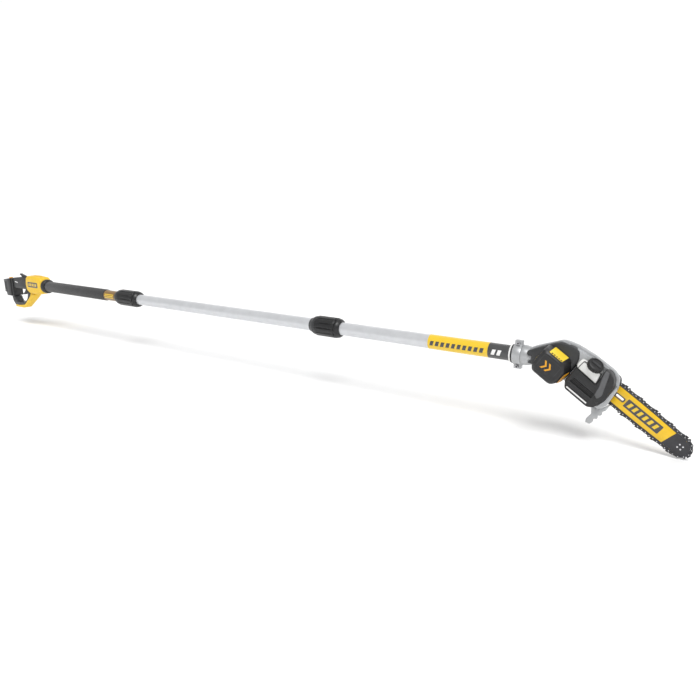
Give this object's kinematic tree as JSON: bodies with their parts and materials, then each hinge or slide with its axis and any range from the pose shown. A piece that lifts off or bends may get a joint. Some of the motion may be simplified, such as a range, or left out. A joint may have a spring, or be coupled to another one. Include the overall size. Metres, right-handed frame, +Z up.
{
  "type": "sectional cordless pole saw",
  "caption": "Battery pole saw: D-shaped rear handle, sectional aluminium pole with threaded collars, and an angled motor head with guide bar and chain.",
  "frame": {"origin": "middle of the bottom of the whole saw's box, at rest", "axes": "+X along the pole towards the saw head, +Z up, -Y the oil tank side"},
  "size_m": [2.6076, 0.094, 0.2269],
  "materials": {
    "aluminium_tube": "satin, fine drawn lines",
    "cast_alloy": "fine cast grain",
    "steel": "satin",
    "black_plastic": "fine moulded grain",
    "grey_plastic": "fine moulded grain",
    "black_rubber": "matt",
    "foam": "matt closed-cell foam",
    "yellow_plastic": "satin moulded",
    "yellow_paint": "satin",
    "orange_plastic": "satin",
    "amber_label": "printed film",
    "grey_label": "printed film",
    "tank_plastic": "translucent",
    "copper": "dull"
  },
  "bodies": {
    "rear_section": {"rear_tube": "aluminium_tube", "foam_grip": "foam", "rear_label": "amber_label", "nose_ring": "black_plastic", "grip_shell_left": "black_plastic", "grip_shell_right": "black_plastic", "nose_shell_left": "yellow_plastic", "nose_shell_right": "yellow_plastic", "guard_strut": "yellow_plastic", "handle_column": "black_plastic", "battery_dock": "black_plastic", "switch_module": "grey_plastic", "trigger_pin": "steel", "rear_socket": "black_plastic", "rear_wire": "black_rubber"},
    "trigger": {"trigger": "black_plastic"},
    "lock_off": {"lock_off_lever": "black_plastic"},
    "battery": {"battery_case_rear": "grey_plastic", "battery_case_front": "black_plastic", "battery_cells": "copper"},
    "battery_release": {"battery_button": "orange_plastic"},
    "extension_section": {"extension_tube": "aluminium_tube", "extension_plug": "grey_plastic", "extension_socket": "black_plastic", "extension_wire": "black_rubber"},
    "rear_ring": {"rear_thrust_ring": "steel"},
    "rear_nut": {"rear_collar": "black_rubber"},
    "front_ring": {"front_thrust_ring": "steel"},
    "front_nut": {"front_collar": "black_rubber"},
    "head_section": {"head_tube": "aluminium_tube", "head_plug": "grey_plastic", "head_wire": "black_rubber", "yellow_label": "yellow_plastic", "grey_label": "grey_label", "seal_ring": "black_rubber", "clamp_cap": "cast_alloy", "clamp_screw_upper": "steel", "clamp_screw_lower": "steel", "gear_case": "cast_alloy", "branch_hook": "cast_alloy", "motor_housing": "black_plastic", "motor_cover": "black_plastic", "upper_vent": "yellow_plastic", "lower_vent": "orange_plastic", "stator": "copper", "oil_tank": "tank_plastic", "tank_cover": "black_plastic", "bar_stud": "steel", "spindle_bearing": "steel", "saw_chain": "steel"},
    "motor": {"motor_rotor": "steel"},
    "drive": {"drive_gear": "steel", "sprocket": "steel"},
    "bar": {"guide_bar": "yellow_paint", "tension_carrier": "steel"},
    "bar_nose": {"nose_sprocket": "steel"},
    "tensioner": {"tension_screw": "steel"},
    "cover": {"sprocket_cover": "black_plastic"},
    "cover_nut": {"bar_nut": "steel"},
    "oil_cap": {"oil_cap": "black_plastic"}
  },
  "joints": [
    {"name": "trigger_pull", "type": "hinge", "parent": "rear_section", "child": "trigger", "pos_m": [-1.1563, 0.015, 0.1697], "axis": [0, 1, 0], "range_deg": [0, 10], "stiffness_Nm_per_rad": 0.6, "springref_deg": -20.05},
    {"name": "lock_off_press", "type": "hinge", "parent": "rear_section", "child": "lock_off", "pos_m": [-1.1633, 0.015, 0.1987], "axis": [0, -1, 0], "range_deg": [0, 12], "stiffness_Nm_per_rad": 0.3, "springref_deg": -20.05},
    {"name": "battery_slide", "type": "slide", "parent": "rear_section", "child": "battery", "axis": [0, 0, 1], "range_m": [0, 0.09]},
    {"name": "battery_release_press", "type": "slide", "parent": "battery", "child": "battery_release", "axis": [0, 0, -1], "range_m": [0, 0.003], "stiffness_N_per_m": 400, "springref_m": -0.003},
    {"name": "extension_pull", "type": "slide", "parent": "rear_section", "child": "extension_section", "axis": [1, 0, 0], "range_m": [0, 0.1]},
    {"name": "rear_collar_travel", "type": "slide", "parent": "extension_section", "child": "rear_ring", "axis": [1, 0, 0], "range_m": [0, 0.04]},
    {"name": "rear_collar_turn", "type": "hinge", "parent": "rear_ring", "child": "rear_nut", "pos_m": [-0.4793, 0.015, 0.1787], "axis": [1, 0, 0], "range_deg": [0, 1801]},
    {"name": "head_pull", "type": "slide", "parent": "extension_section", "child": "head_section", "axis": [1, 0, 0], "range_m": [0, 0.1]},
    {"name": "front_collar_travel", "type": "slide", "parent": "head_section", "child": "front_ring", "axis": [1, 0, 0], "range_m": [0, 0.04]},
    {"name": "front_collar_turn", "type": "hinge", "parent": "front_ring", "child": "front_nut", "pos_m": [0.3907, 0.015, 0.1787], "axis": [1, 0, 0], "range_deg": [0, 1801]},
    {"name": "motor_spin", "type": "hinge", "parent": "head_section", "child": "motor", "pos_m": [1.02014, 0.015, 0.17222], "axis": [0, 1, 0], "continuous": true},
    {"name": "drive_spin", "type": "hinge", "parent": "head_section", "child": "drive", "pos_m": [1.0576, 0.015, 0.1759], "axis": [0, 1, 0], "continuous": true},
    {"name": "nose_spin", "type": "hinge", "parent": "bar", "child": "bar_nose", "pos_m": [1.2773, 0.023, 0.02772], "axis": [0, 1, 0], "continuous": true},
    {"name": "bar_tension", "type": "slide", "parent": "head_section", "child": "bar", "axis": [0.829, 0, -0.5592], "range_m": [-0.006, 0]},
    {"name": "tension_screw_turn", "type": "hinge", "parent": "head_section", "child": "tensioner", "pos_m": [1.13156, 0.011, 0.10672], "axis": [0.829, 0, -0.5592], "range_deg": [-2161, 0]},
    {"name": "cover_slide", "type": "slide", "parent": "head_section", "child": "cover", "axis": [0, 1, 0], "range_m": [0, 0.06]},
    {"name": "bar_nut_turn", "type": "hinge", "parent": "cover", "child": "cover_nut", "pos_m": [1.10154, 0.037, 0.14626], "axis": [0, 1, 0], "range_deg": [0, 1440]},
    {"name": "oil_cap_turn", "type": "hinge", "parent": "head_section", "child": "oil_cap", "pos_m": [1.09784, -0.013, 0.18012], "axis": [0.5068, -0.4226, 0.7514], "range_deg": [0, 360]}
  ],
  "couplings": [
    {"joint": "rear_collar_turn", "follows": "rear_collar_travel", "rad_per_m": 785.4},
    {"joint": "front_collar_turn", "follows": "front_collar_travel", "rad_per_m": 785.4},
    {"joint": "drive_spin", "follows": "motor_spin", "ratio": -0.33333},
    {"joint": "nose_spin", "follows": "motor_spin", "ratio": -0.22222},
    {"joint": "tension_screw_turn", "follows": "bar_tension", "rad_per_m": 6283.2}
  ]
}
